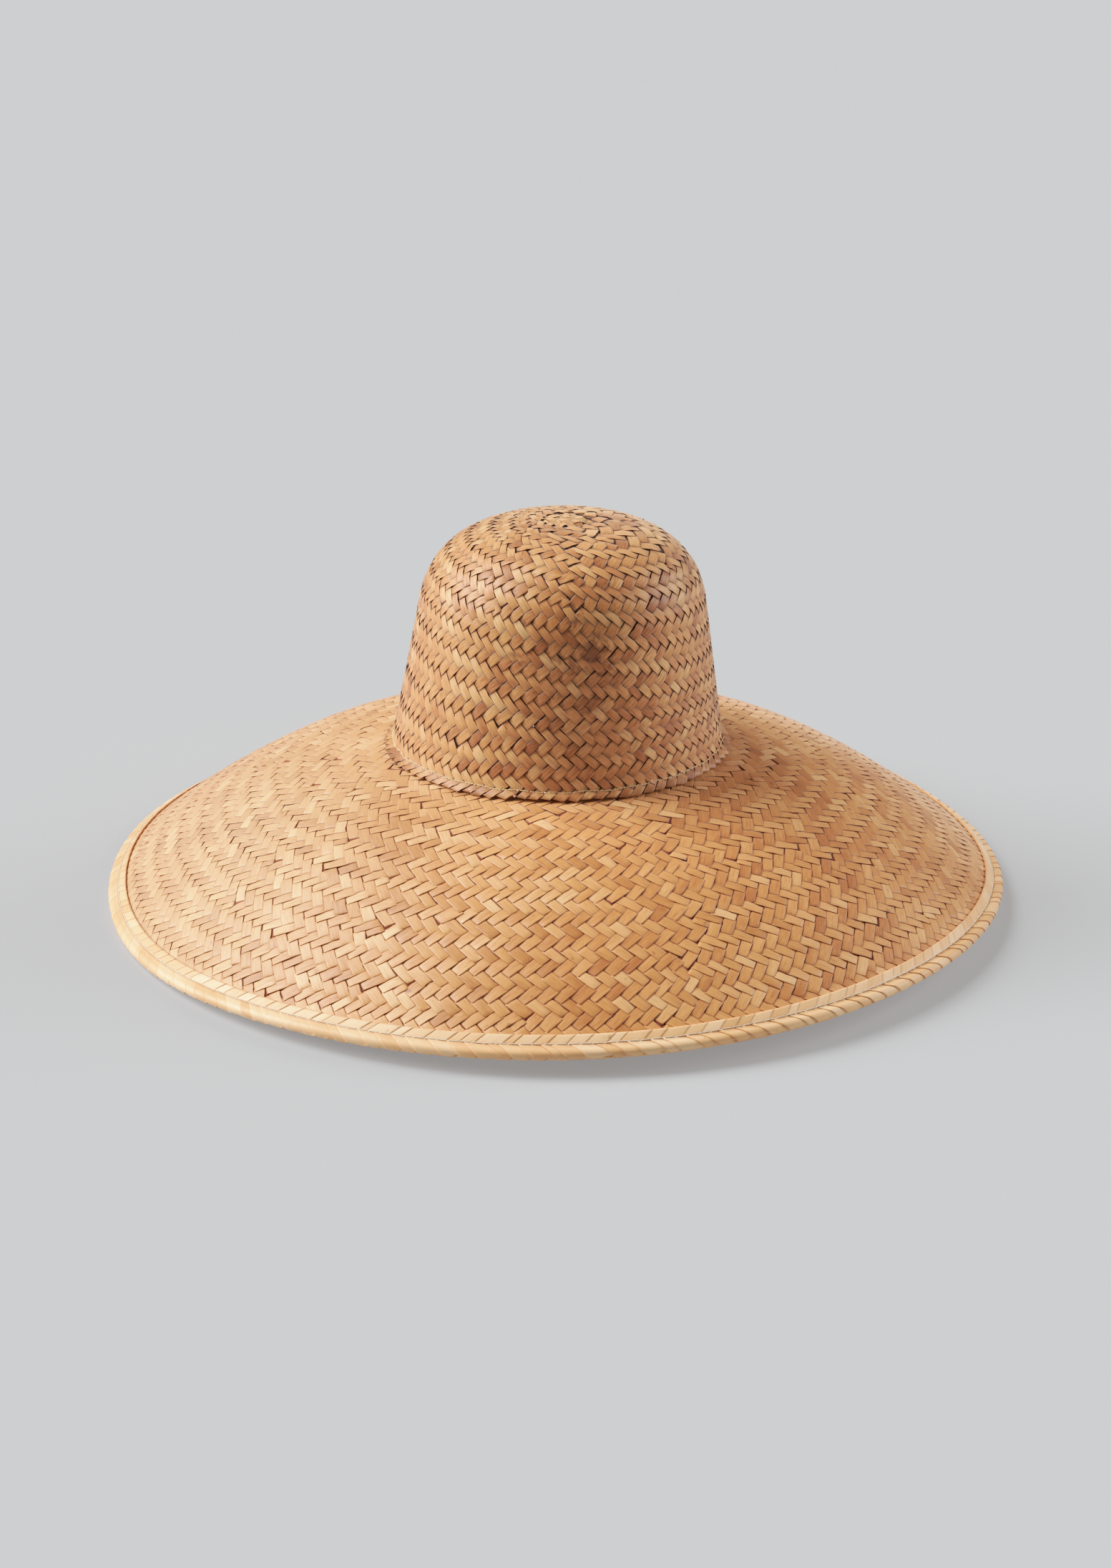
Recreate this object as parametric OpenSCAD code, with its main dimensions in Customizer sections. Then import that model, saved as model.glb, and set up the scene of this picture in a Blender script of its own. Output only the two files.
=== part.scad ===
// Wide-brimmed sun hat of woven palm leaf: a domed crown and a sloping brim, woven as
// two pieces and sewn together, with a folded plait round the brim's edge.
// +Z is up. The origin is on the hat's axis, on the surface that the brim's edge rests on.

/* [Crown] */
// Height of the top of the crown above the resting surface
crown_top = 218; // [210:1:228]
// Radius at the shoulder, where the dome meets the wall
shoulder_r = 80.5; // [77:0.5:84]
// Height of the shoulder
shoulder_z = 170.5; // [160:0.5:177]
// How far the top stays flat before the dome turns down
dome_flat = 48; // [30:1:60]
// How far the shoulder keeps the wall's direction before it turns into the dome
dome_drop = 35; // [20:1:45]
// Thickness of the crown's weave, two strips deep
crown_t = 1.3; // [1:0.1:1.6]
// Length of the trimmed strip ends that fan out under the crown's seam
fringe_w = 6.2; // [4:0.1:6.2]
// Slope of that fan, in degrees
fringe_slope = 32; // [28:1:40]

/* [Brim] */
// Outer radius over the edge binding
brim_r = 258; // [245:1:270]
// Radius of the corner between crown and brim
seam_r = 95.5; // [92:0.5:99]
// Height of that corner
seam_z = 91.5; // [83:0.5:99]
// Slope of the brim where it leaves the crown, in degrees
inner_slope = 9.5; // [6:0.5:14]
// Slope of the brim at its edge, in degrees
edge_slope = 41; // [34:0.5:46]
// How long the brim keeps its inner slope
inner_pull = 64; // [45:1:80]
// How long the brim keeps its edge slope
edge_pull = 60; // [45:1:75]
// Thickness of the brim's weave
brim_t = 1.2; // [1:0.1:1.6]
// Height of the brim's collar, which is turned up inside the crown
collar_h = 12; // [8:1:18]
// How much lower than the crown's corner the brim turns out of its collar
brim_drop = 2.5; // [2.2:0.1:4]

/* [Edge binding] */
// Radius of the rolled edge
roll_r = 3; // [2.6:0.1:3.6]
// Width of the binding's leaves, from the roll's centre inwards
leaf_w = 10.6; // [9:0.2:14]
// Thickness of the plait
plait_t = 1; // [0.8:0.1:1.2]
// Distance from the roll's centre to the row of stitches
stitch_in = 5; // [4:0.5:7]
// Radius of the wire in the roll
wire_r = 0.6; // [0.5:0.1:1]
// Radius of the sewing thread
thread_r = 0.35; // [0.25:0.05:0.5]

/* [Crown seam and sweatband] */
// Radius of the cord that is sewn round the foot of the crown
cord_r = 0.6; // [0.4:0.1:0.8]
// Height of the sweatband
band_h = 30; // [22:1:36]
// Thickness of the sweatband
band_t = 1; // [0.8:0.1:1.3]
// Height of the sweatband's row of stitches above its lower edge
band_stitch_z = 3; // [2:0.5:6]

/* [Hidden] */

$fn = 96;
gap = 0.1;          // clearance between neighbouring pieces
bend_r = 2.2;       // radius of the crown's middle line where it turns out into the fringe
rest_cut = 0.15;    // how far the rolled edge is flattened where it rests
dome_steps = 20;
wall_steps = 2;
bend_steps = 5;
brim_steps = 24;
roll_steps = 24;

// ---- Directions and lines in the (radius, height) plane. An angle is a direction of travel,
// ---- anticlockwise from straight outwards, so a downward slope is negative.
function ahead(a) = [cos(a), sin(a)];
function left_of(a) = [-sin(a), cos(a)];
function bezier(p0, p1, p2, p3, n) = [
  for (i = [0:n]) let (t = i / n, u = 1 - t)
    u * u * u * p0 + 3 * u * u * t * p1 + 3 * u * t * t * p2 + t * t * t * p3
];
// An arc about c, travelled from direction a0 to direction a1 with c on its left
function bend(c, r, a0, a1, n) = [for (i = [0:n]) c - r * left_of(a0 + (a1 - a0) * i / n)];
// Direction of travel at point i of a line
function heading(line, i) =
  let (a = line[max(i - 1, 0)], b = line[min(i + 1, len(line) - 1)])
    atan2(b[1] - a[1], b[0] - a[0]);
// The line moved sideways, to its left
function beside(line, d) = [for (i = [0:len(line) - 1]) line[i] + d * left_of(heading(line, i))];
function backwards(line) = [for (i = [len(line) - 1:-1:0]) line[i]];
function without_first(line) = [for (i = [1:len(line) - 1]) line[i]];
// Outline of a sheet of thickness t about its middle line
function sheet_outline(line, t) = concat(beside(line, t / 2), backwards(beside(line, -t / 2)));

// ---- The crown's middle line
corner = [seam_r, seam_z];
shoulder = [shoulder_r, shoulder_z];
to_corner = corner - shoulder;
wall_dir = atan2(to_corner[1], to_corner[0]) - asin(bend_r / norm(to_corner));
wall_foot = corner - bend_r * left_of(wall_dir);
crown_apex = crown_top - crown_t / 2;
dome_line = bezier(
  [0, crown_apex], [dome_flat, crown_apex], shoulder - dome_drop * ahead(wall_dir), shoulder, dome_steps
);
wall_line = [for (i = [1:wall_steps]) shoulder + (wall_foot - shoulder) * i / wall_steps];
crown_bend = without_first(bend(corner, bend_r, wall_dir, -fringe_slope, bend_steps));
fringe_end = corner - bend_r * left_of(-fringe_slope) + fringe_w * ahead(-fringe_slope);
crown_line = concat(dome_line, wall_line, crown_bend, [fringe_end]);

// ---- The brim's middle line: its collar lies against the inside of the crown's wall
collar_r = bend_r + crown_t / 2 + gap + brim_t / 2;
brim_corner = corner + brim_drop * ahead(wall_dir);
collar_foot = brim_corner - collar_r * left_of(wall_dir);
collar_top = collar_foot - collar_h * ahead(wall_dir);
roll_c = [brim_r - roll_r, roll_r - rest_cut];
brim_start = brim_corner - collar_r * left_of(-inner_slope);
brim_sweep = bezier(
  brim_start, brim_start + inner_pull * ahead(-inner_slope),
  roll_c - edge_pull * ahead(-edge_slope), roll_c, brim_steps
);
weave_stop = 2.4;   // the woven strips end this far short of the roll's centre
weave_end = roll_c - weave_stop * ahead(-edge_slope);
brim_cut = [for (p = brim_sweep) if (norm(p - roll_c) > weave_stop + 1) p];
brim_bend = bend(brim_corner, collar_r, wall_dir, -inner_slope, bend_steps);
brim_line = concat([collar_top], brim_bend, without_first(brim_cut), [weave_end]);

// ---- The edge binding: two leaves that hold the last stretch of the brim, and the roll between
edge_dir = ahead(-edge_slope);
edge_up = left_of(-edge_slope);
leaf_t = brim_t + 2 * gap + 2 * plait_t;
leaf_half = leaf_t / 2;
slot_half = brim_t / 2 + gap;
slot_stop = weave_stop - 2 * gap;
// A point of the binding's section, given inwards from the roll's centre and upwards
function binding_point(inwards, up) = roll_c - inwards * edge_dir + up * edge_up;
roll_open = 180 - asin(leaf_half / roll_r);
roll_points = [
  for (i = [0:roll_steps])
    let (a = roll_open * (1 - 2 * i / roll_steps), p = binding_point(-roll_r * cos(a), roll_r * sin(a)))
      [p[0], max(p[1], 0)]
];
binding_outline = concat(
  [binding_point(leaf_w, leaf_half)],
  roll_points,
  [binding_point(leaf_w, -leaf_half), binding_point(leaf_w, -slot_half)],
  [binding_point(slot_stop, -slot_half), binding_point(slot_stop, slot_half)],
  [binding_point(leaf_w, slot_half)]
);
stitch_up = leaf_half + thread_r;

// ---- The sweatband lies inside the collar
band_r = collar_r + brim_t / 2 + gap + band_t / 2;
band_foot = brim_corner - band_r * left_of(wall_dir);
band_line = [band_foot - band_h * ahead(wall_dir), band_foot];
band_face = band_foot - (band_t / 2 + thread_r) * left_of(wall_dir);
band_stitch = band_face - band_stitch_z * ahead(wall_dir);

// Direction of travel halfway round the two bends
crown_mid = (wall_dir - fringe_slope) / 2;
brim_mid = (wall_dir - inner_slope) / 2;
cord_c = corner - (bend_r - crown_t / 2 - cord_r - gap) * left_of(crown_mid);
inner_thread_c = brim_corner - (collar_r + brim_t / 2 + thread_r) * left_of(brim_mid);

module turned() { rotate_extrude() children(); }

// A ring of round cord or wire whose section is centred at c
module ring(c, r) { turned() translate(c) circle(r, $fn = 32); }

// Woven dome, wall and the fan of strip ends below the seam
module crown_weave() {
  color("peru")
    turned() intersection() {
      polygon(sheet_outline(crown_line, crown_t));
      square([2 * brim_r, 2 * crown_top]);
    }
}

// Twisted cord in the corner between crown and brim
module crown_seam_cord() { color("wheat") ring(cord_c, cord_r); }

// The same seam's thread on the inside
module crown_seam_inner_thread() { color("wheat") ring(inner_thread_c, thread_r); }

// Woven brim with its turned-up collar
module brim_weave() { color("burlywood") turned() polygon(sheet_outline(brim_line, brim_t)); }

// Flat plait folded over the brim's edge round a wire
module edge_binding() {
  color("moccasin")
    turned() difference() {
      polygon(binding_outline);
      translate(roll_c) circle(wire_r + gap, $fn = 32);
    }
}

module edge_wire() { color("silver") ring(roll_c, wire_r); }

// Lockstitch through the binding: the needle thread above and the bobbin thread below
module edge_stitch_top() { color("white") ring(binding_point(stitch_in, stitch_up), thread_r); }
module edge_stitch_under() { color("white") ring(binding_point(stitch_in, -stitch_up), thread_r); }

// Ribbon that goes round the head
module sweatband() { color("tan") turned() polygon(sheet_outline(band_line, band_t)); }
module sweatband_stitch() { color("ivory") ring(band_stitch, thread_r); }

crown_weave();
crown_seam_cord();
crown_seam_inner_thread();
brim_weave();
edge_binding();
edge_wire();
edge_stitch_top();
edge_stitch_under();
sweatband();
sweatband_stitch();
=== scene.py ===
"""A woven palm-leaf sun hat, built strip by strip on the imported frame."""
import math

import bpy
import numpy as np
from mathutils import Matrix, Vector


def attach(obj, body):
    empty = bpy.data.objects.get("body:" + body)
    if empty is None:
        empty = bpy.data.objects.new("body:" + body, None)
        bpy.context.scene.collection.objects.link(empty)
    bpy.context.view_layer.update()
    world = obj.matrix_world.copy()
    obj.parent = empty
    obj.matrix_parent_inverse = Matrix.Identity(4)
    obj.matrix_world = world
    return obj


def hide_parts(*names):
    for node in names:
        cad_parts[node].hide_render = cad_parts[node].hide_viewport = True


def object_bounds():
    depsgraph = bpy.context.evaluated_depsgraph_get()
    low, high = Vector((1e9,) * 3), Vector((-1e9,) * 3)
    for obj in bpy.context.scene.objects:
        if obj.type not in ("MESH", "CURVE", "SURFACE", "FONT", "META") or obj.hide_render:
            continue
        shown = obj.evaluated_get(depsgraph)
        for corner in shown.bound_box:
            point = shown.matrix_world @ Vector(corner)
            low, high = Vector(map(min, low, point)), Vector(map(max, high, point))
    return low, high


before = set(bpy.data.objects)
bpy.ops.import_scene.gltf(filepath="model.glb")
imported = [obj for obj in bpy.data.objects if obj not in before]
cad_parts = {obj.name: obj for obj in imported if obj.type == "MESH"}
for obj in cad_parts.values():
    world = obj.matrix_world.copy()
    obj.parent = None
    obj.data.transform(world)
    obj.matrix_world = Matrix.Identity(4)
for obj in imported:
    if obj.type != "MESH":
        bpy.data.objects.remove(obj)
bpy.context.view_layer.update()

TAU = 2 * math.pi
MM = 0.001

# ---------------------------------------------------------------- dimensions, in mm, as in the CAD
CROWN_TOP = 218.0
SHOULDER = np.array([80.5, 170.5])
DOME_FLAT = 48.0
DOME_DROP = 35.0
CROWN_T = 1.3
BRIM_R = 258.0
CORNER = np.array([95.5, 91.5])
INNER_SLOPE = 9.5
EDGE_SLOPE = 41.0
INNER_PULL = 64.0
EDGE_PULL = 60.0
BRIM_T = 1.2
COLLAR_H = 12.0
FRINGE_W = 6.2
FRINGE_SLOPE = 32.0
BRIM_DROP = 2.5
ROLL_R = 3.0
REST_CUT = 0.15
LEAF_W = 10.6
PLAIT_T = 1.0
STITCH_IN = 5.0
WIRE_R = 0.6
BEND_R = 2.2
GAP = 0.1
BAND_H = 30.0
BAND_T = 1.0
BAND_STITCH_Z = 3.0

# ---------------------------------------------------------------- the leaf strips, in mm
# The weaves' grids: distance between two levels of crossings, and along a level
CROWN_LEVEL, CROWN_AROUND = 3.44, 6.94
BRIM_LEVEL, BRIM_AROUND = 4.05, 8.35
STRIP_T = 0.34
STRIP_ARCH = 0.04  # how much lower a strip's sides are than its middle
# How the strips lie in each weave.
# depth: how far a strip is above or below the surface at a crossing
# swell: how much it bows up between two crossings, as a share of depth
# end_dip: how much painted shade both ends of each stretch that shows get, from 0 to 1
# lift_sides: how much its lower side is raised
# slack: the share of the way to the next strip by which its upper side falls short
# tail_lift: how far its trimmed end may stand off
CROWN_LAY = dict(depth=0.36, swell=0.85, end_dip=0.3, lift_sides=1.0, slack=0.05, tail_lift=0.1)
BRIM_LAY = dict(depth=0.32, swell=0.3, end_dip=0.0, lift_sides=1.5, slack=0.035, tail_lift=0.0)


# ---------------------------------------------------------------- lines in the (radius, height) plane
def ahead(deg):
    return np.array([math.cos(math.radians(deg)), math.sin(math.radians(deg))])


def left_of(deg):
    return np.array([-math.sin(math.radians(deg)), math.cos(math.radians(deg))])


def bezier(p0, p1, p2, p3, n=160):
    t = np.linspace(0, 1, n + 1)[:, None]
    u = 1 - t
    return u**3 * p0 + 3 * u * u * t * p1 + 3 * u * t * t * p2 + t**3 * p3


def bend(c, r, a0, a1, n=16):
    """An arc about c, travelled from direction a0 to direction a1 with c on its left."""
    return np.array([c - r * left_of(a0 + (a1 - a0) * i / n) for i in range(n + 1)])


def smooth(x):
    x = np.clip(x, 0, 1)
    return x * x * (3 - 2 * x)


def wrap(angle):
    return (angle + math.pi) % TAU - math.pi


# ---------------------------------------------------------------- the hat's uneven form
def bump_at(th, deg, height, tightness):
    """A rounded rise of that height round the hat at one azimuth."""
    return height * np.exp(tightness * (np.cos(th - math.radians(deg)) - 1))


def edge_wave(th):
    """How far the brim's edge stands above the surface that the hat rests on."""
    w = 6.3 + bump_at(th, -67, -7.6, 9) + bump_at(th, 50, 4.3, 4) + bump_at(th, 106, -4.6, 7)
    return w + bump_at(th, 165, 2.5, 5) + bump_at(th, 222, -3.5, 6)


def form(r, th, z):
    """Points of the regular hat, in mm, with the unevenness of a handmade one, in metres."""
    out = np.clip((r - CORNER[0]) / (BRIM_R - CORNER[0]), 0, 1)
    up = np.clip((z - CORNER[1]) / (CROWN_TOP - CORNER[1]), 0, 1)
    z = z + out**1.5 * edge_wave(th)
    z = z + 4 * out * (1 - out) * (0.5 * np.sin(5 * th + 0.7) + 0.4 * np.sin(8 * th + 2.1))
    r = r + up * (1 - up) * (1.6 * np.sin(2 * th + 0.6) + 1.1 * np.sin(3 * th + 2.0) + 0.7 * np.sin(5 * th))
    x = r * np.sin(th) + 1.2 * (1 - out) + 4.0 * up
    return np.stack([x, -r * np.cos(th), z], -1) * MM


class Surface:
    """A line in the (radius, height) plane, turned about the axis. Its outside is on the line's left."""

    def __init__(self, *runs):
        line = np.vstack([np.atleast_2d(run) for run in runs])
        step = np.linalg.norm(np.diff(line, axis=0), axis=1)
        line = line[np.r_[True, step > 1e-4]]
        self.s = np.r_[0, np.cumsum(np.linalg.norm(np.diff(line, axis=0), axis=1))]
        self.r, self.z = line.T
        dr = np.gradient(self.r, self.s)
        dz = np.gradient(self.z, self.s)
        size = np.hypot(dr, dz)
        self.nr = -dz / size
        self.nz = dr / size
        self.length = self.s[-1]

    def radius(self, s):
        return np.interp(s, self.s, self.r)

    def place(self, s, th, up):
        """Points at distance s along the line, at azimuth th and at height up over the surface."""
        r = np.interp(s, self.s, self.r) + up * np.interp(s, self.s, self.nr)
        z = np.interp(s, self.s, self.z) + up * np.interp(s, self.s, self.nz)
        return form(r, th, z)


# ---------------------------------------------------------------- the surfaces of the crown and the brim
to_corner = CORNER - SHOULDER
WALL_DIR = math.degrees(math.atan2(to_corner[1], to_corner[0]))
WALL_DIR -= math.degrees(math.asin(BEND_R / np.linalg.norm(to_corner)))
apex = CROWN_TOP - CROWN_T / 2
dome = bezier(
    np.array([0, apex]), np.array([DOME_FLAT, apex]), SHOULDER - DOME_DROP * ahead(WALL_DIR), SHOULDER
)
crown_foot = bend(CORNER, BEND_R, WALL_DIR, -FRINGE_SLOPE)
# the trimmed ends are a little longer and steeper than in the CAD, and then flatten out on the brim
TIP_LONGER, TIP_STEEPER = 0.6, 6
TIP_BEND_R, TIP_SLOPE, TIP_RUN = 2, 12, 3
fringe_turn = crown_foot[-1] + (FRINGE_W + TIP_LONGER) * ahead(-FRINGE_SLOPE - TIP_STEEPER)
fringe_tip = bend(
    fringe_turn + TIP_BEND_R * left_of(-FRINGE_SLOPE), TIP_BEND_R, -FRINGE_SLOPE, -TIP_SLOPE, 6
)
crown = Surface(dome, crown_foot, fringe_tip, fringe_tip[-1] + TIP_RUN * ahead(-TIP_SLOPE))

COLLAR_R = BEND_R + CROWN_T / 2 + GAP + BRIM_T / 2
brim_corner = CORNER + BRIM_DROP * ahead(WALL_DIR)
collar_top = brim_corner - COLLAR_R * left_of(WALL_DIR) - COLLAR_H * ahead(WALL_DIR)
roll_c = np.array([BRIM_R - ROLL_R, ROLL_R - REST_CUT])
brim_start = brim_corner - COLLAR_R * left_of(-INNER_SLOPE)
brim_sweep = bezier(
    brim_start, brim_start + INNER_PULL * ahead(-INNER_SLOPE), roll_c - EDGE_PULL * ahead(-EDGE_SLOPE), roll_c
)
STRIPS_STOP = 2.5  # how far short of the roll's centre the strips end
brim_sweep = brim_sweep[np.linalg.norm(brim_sweep - roll_c, axis=1) > STRIPS_STOP]
brim = Surface(collar_top, bend(brim_corner, COLLAR_R, WALL_DIR, -INNER_SLOPE), brim_sweep)

# ---------------------------------------------------------------- meshes
LOOP = 8  # points round a strip's section: five on top and three below
SIDES = np.array([-1, -0.8, 0, 0.8, 1, 1, 0, -1.0])  # where they are between the strip's two sides


def mesh_object(name, verts, quads, caps=(), flat=None, vectors=None):
    """A mesh of quads and caps. The caps, and the quads marked as flat, have sharp edges."""
    me = bpy.data.meshes.new(name)
    verts = np.ascontiguousarray(verts, dtype=np.float32).reshape(-1, 3)
    quads = np.asarray(quads, dtype=np.int32).reshape(-1, 4)
    caps = [np.asarray(c, dtype=np.int32) for c in caps]
    loops = np.concatenate([quads.ravel(), *caps]) if caps else quads.ravel()
    sizes = np.concatenate([np.full(len(quads), 4), [len(c) for c in caps]]).astype(np.int32)
    starts = np.r_[0, np.cumsum(sizes)[:-1]].astype(np.int32)
    me.vertices.add(len(verts))
    me.vertices.foreach_set("co", verts.ravel())
    me.loops.add(len(loops))
    me.loops.foreach_set("vertex_index", loops)
    me.polygons.add(len(sizes))
    me.polygons.foreach_set("loop_start", starts)
    me.polygons.foreach_set("loop_total", sizes)
    even = np.ones(len(sizes), bool)
    if flat is not None:
        even[: len(flat)] = ~flat
    even[len(quads):] = False
    me.polygons.foreach_set("use_smooth", even)
    for key, data in (vectors or {}).items():
        layer = me.attributes.new(key, "FLOAT_VECTOR", "POINT")
        layer.data.foreach_set("vector", np.ascontiguousarray(data, dtype=np.float32).ravel())
    me.update(calc_edges=True)
    me.validate()
    ob = bpy.data.objects.new(name, me)
    bpy.context.scene.collection.objects.link(ob)
    return ob


class Strips:
    """Flat strips that are gathered into one piece.

    Each point carries two vectors for the material. "strip" holds the shade, the distance along
    the strip in metres, and the place across it from -1 to 1. "tone" holds a random number, how
    much painted shade the strip gets (most where it is under others), and how near the point is to a trimmed
    end.
    """

    def __init__(self):
        self.rings, self.strip, self.tone, self.ends = [], [], [], []

    def add(self, place, mid, minus, plus, up, tilt, thick, arch, rnd, dip, mark=0.0):
        """Adds one strip.

        mid is the (n, 2) line of its middle, minus and plus go from there to its two sides, and up
        is its height. rnd holds its shade and its random number.
        """
        n = len(mid)
        height = np.where(np.arange(LOOP) < 5, thick / 2, -thick / 2) - arch * SIDES**2
        u = SIDES[None, :, None]
        where = mid[:, None] + np.where(u < 0, -u * minus[:, None], u * plus[:, None])
        h = up[:, None] + height[None] + np.asarray(tilt).reshape(-1, 1) * SIDES[None]
        pts = place(where[..., 0].ravel(), where[..., 1].ravel(), h.ravel()).reshape(n, LOOP, 3)
        run = np.r_[0, np.cumsum(np.linalg.norm(np.diff(pts[:, 2], axis=0), axis=1))]
        full = np.ones((n, LOOP))
        shade = full * np.asarray(rnd[0]).reshape(-1, 1)
        trimmed = full * np.asarray(mark).reshape(-1, 1)
        self.rings.append(pts)
        self.strip.append(np.stack([shade, full * run[:, None], full * SIDES[None]], -1))
        self.tone.append(np.stack([full * rnd[1], full * dip[:, None], trimmed], -1))
        self.ends.append(n)

    def build(self, name):
        ends = np.array(self.ends)
        first = np.r_[0, np.cumsum(ends)[:-1]]
        last = np.zeros(ends.sum(), bool)
        last[first + ends - 1] = True
        i = np.flatnonzero(~last)[:, None] * LOOP
        j = np.arange(LOOP)[None]
        k = (j + 1) % LOOP
        quads = np.stack([i + j, i + LOOP + j, i + LOOP + k, i + k], -1).reshape(-1, 4)
        flat = np.tile(np.isin(np.arange(LOOP), (4, 7)), len(i))
        ring = np.arange(LOOP)
        caps = [f * LOOP + ring for f in first]
        caps += [(f + n - 1) * LOOP + ring[::-1] for f, n in zip(first, ends)]
        vectors = {
            "strip": np.concatenate(self.strip).reshape(-1, 3),
            "tone": np.concatenate(self.tone).reshape(-1, 3),
        }
        return mesh_object(name, np.concatenate(self.rings), quads, caps, flat, vectors)


# ---------------------------------------------------------------- the two-over-two twill
class Weave:
    """Crossings of two families of strips on a surface, in levels one below the other.

    Each crossing knows its four neighbours, with -1 for none. Strips of family 0 go on down to the
    right, and those of family 1 down to the left. A folded pair of strips comes in wherever the
    round widens.
    """

    def __init__(self, surface, start, stop, level, around, seed, skew=0.0):
        self.surface, self.rng = surface, np.random.default_rng(seed)
        level_s = np.arange(start, stop, level)
        self.grow(np.rint(TAU * surface.radius(level_s) / around).astype(int))
        self.settle()
        self.number()
        self.disturb(level_s, stop, skew)

    def grow(self, want):
        """Lays out each level between the crossings of the one above. want is the count for each."""
        rng = self.rng
        self.th = [np.arange(want[0]) * TAU / want[0] + rng.random()]
        self.up_left, self.up_right = [np.full(want[0], -1)], [np.full(want[0], -1)]
        self.down_right, self.down_left = [], []
        for k in range(len(want) - 1):
            above = self.th[k]
            n = len(above)
            extra = max(0, want[k + 1] - n) if k % 2 else 0
            new = np.zeros(n, bool)
            if extra:
                spots = (np.arange(extra) + 0.7 * rng.random(extra)) * n / extra
                new[np.unique(np.floor(spots).astype(int) % n)] = True
            before = np.cumsum(new)
            gap = np.arange(n) + before
            folds = np.flatnonzero(new)
            size = n + len(folds)
            left, right, th = np.full(size, -1), np.full(size, -1), np.empty(size)
            left[gap] = np.arange(n)
            right[gap] = (np.arange(n) + 1) % n
            th[gap] = (above + np.r_[above[1:], above[0] + TAU]) / 2
            th[folds + before[folds] - 1] = above[folds]
            spaced = np.arange(size) * TAU / size
            spaced = spaced + np.angle(np.exp(1j * (th - spaced)).mean())
            self.th.append(spaced + 0.2 * wrap(th - spaced))
            self.up_left.append(left)
            self.up_right.append(right)
            self.down_right.append(gap)
            self.down_left.append(np.roll(gap, 1))

    def settle(self):
        """Moves each crossing in between its neighbours, again and again."""
        for _ in range(160):
            for k, a in enumerate(self.th):
                pull = 0.5 * (wrap(np.roll(a, 1) - a) + wrap(np.roll(a, -1) - a))
                weight = np.ones(len(a))
                if k:
                    above, has = self.th[k - 1], self.up_left[k] >= 0
                    left, right = self.up_left[k][has], self.up_right[k][has]
                    pull[has] += wrap(above[left] - a[has]) + wrap(above[right] - a[has])
                    weight[has] += 2
                if k < len(self.th) - 1:
                    below = self.th[k + 1]
                    pull += wrap(below[self.down_right[k]] - a) + wrap(below[self.down_left[k]] - a)
                    weight += 2
                self.th[k] = a + pull / weight

    def number(self):
        """Joins the levels into one array each, so that a crossing has one number in the whole weave."""
        counts = [len(a) for a in self.th]
        base = np.r_[0, np.cumsum(counts)]

        def whole(parts, shift):
            found = [np.where(p >= 0, p + base[k + shift], -1) for k, p in enumerate(parts)]
            return np.concatenate(found)

        none = np.full(counts[-1], -1)
        self.level = np.repeat(np.arange(len(counts)), counts)
        self.th = np.concatenate(self.th)
        self.up_left, self.up_right = whole(self.up_left, -1), whole(self.up_right, -1)
        self.down_right = np.r_[whole(self.down_right, 1), none]
        self.down_left = np.r_[whole(self.down_left, 1), none]
        self.folds = np.flatnonzero(self.up_left < 0)

    def disturb(self, level_s, stop, skew):
        """Makes the rows uneven. They also sink by skew on the right and rise by it on the left."""
        rng, k = self.rng, self.level
        c = rng.random(4) * TAU
        s = level_s[k]
        s = s + 0.45 * np.sin(3 * self.th + 0.13 * k + c[0]) + 0.3 * np.sin(7 * self.th - 0.21 * k + c[1])
        s = s + skew * np.sin(self.th) * smooth(s / 55) * smooth((stop - 8 - s) / 62)
        r = self.surface.radius(s)
        self.s = s + rng.normal(0, 0.12, len(s))
        sway = rng.normal(0, 0.16, len(s)) + 0.5 * np.sin(4 * self.th + 0.3 * k + c[2])
        self.th = self.th + sway / np.maximum(r, 6)

    def on_top(self, level, family):
        over = level % 4 < 2
        return over if family == 0 else ~over

    def side(self, ids, one, other):
        """From each crossing to the one beside it, or else straight away from the one on its other side."""
        def to(neighbour):
            return np.stack([self.s[neighbour] - self.s[ids], wrap(self.th[neighbour] - self.th[ids])], -1)

        near, far = to(one[ids]), to(other[ids])
        return np.where((one[ids] < 0)[:, None], np.where((other[ids] < 0)[:, None], near, -far), near)

    def runs(self, family):
        """The crossings along each strip of a family, from the fold where it starts to its end."""
        follow = self.down_right if family == 0 else self.down_left
        found = []
        for start in self.folds:
            ids = [start]
            while follow[ids[-1]] >= 0:
                ids.append(follow[ids[-1]])
            if len(ids) > 1:
                found.append(np.array(ids))
        return found

    def strips(self, groups, end_cut, lay, mark_from=math.inf):
        """Adds each strip of both families to one of the groups of its family."""
        for family in (0, 1):
            runs = self.runs(family)
            shades = strip_shades(self.rng, np.array([self.th[ids[-1]] for ids in runs]))
            for number, ids in enumerate(runs):
                group = groups[family][number % len(groups[family])]
                self.strip(group, family, ids, shades[number], end_cut, lay, mark_from)

    def strip(self, group, family, ids, shade, end_cut, lay, mark_from):
        """Adds the strip that runs through those crossings. It counts as trimmed from mark_from on."""
        rng = self.rng
        if family == 0:
            one, other, lower, hidden_at = self.up_right, self.down_left, -1, 1.5
        else:
            one, other, lower, hidden_at = self.down_right, self.up_left, 1, -0.5
        mid = eased(np.stack([self.s[ids], np.unwrap(self.th[ids])], -1), 2)
        plus, minus = eased(self.side(ids, one, other), 3), eased(self.side(ids, other, one), 3)
        state = np.where(self.on_top(self.level[ids], family), 1.0, -1.0)
        knots = strip_knots(rng, state, lay["swell"], lay["end_dip"])
        last = len(ids) - 1
        end = end_cut(family, rng)
        knots += [(last, state[-1], state[-1] < 0, 0.1)]
        knots = [k for k in knots if k[0] < last + min(end, 0) or end > 0]
        knots += [(last + end, state[-1], state[-1] < 0, 0.1)]
        at, h, dip, lean = np.array(knots, float).T

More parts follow.
